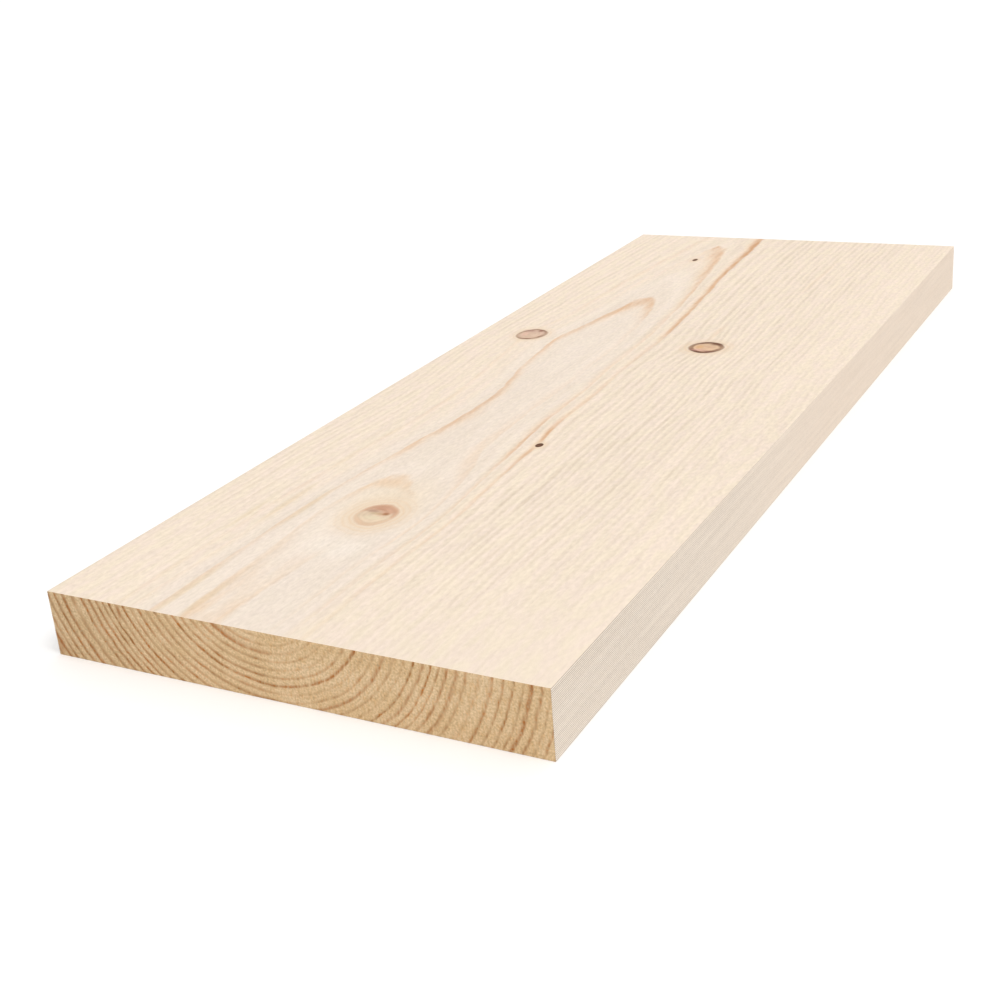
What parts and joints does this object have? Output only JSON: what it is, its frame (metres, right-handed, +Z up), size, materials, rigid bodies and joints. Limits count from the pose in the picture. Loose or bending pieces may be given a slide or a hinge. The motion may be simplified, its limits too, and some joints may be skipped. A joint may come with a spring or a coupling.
{
  "type": "timber plank",
  "caption": "Sawn softwood plank, a straight rectangular board with crisp edges and square-cut ends, for boarding, shelving and joinery.",
  "frame": {"origin": "centre of the plank's underside, on the surface it lies on", "axes": "+X along the grain and the length, +Y across the width, +Z up through the thickness"},
  "size_m": [0.54, 0.195, 0.025],
  "materials": {
    "softwood": "matte"
  },
  "bodies": {
    "root": {"plank": "softwood"}
  },
  "joints": []
}
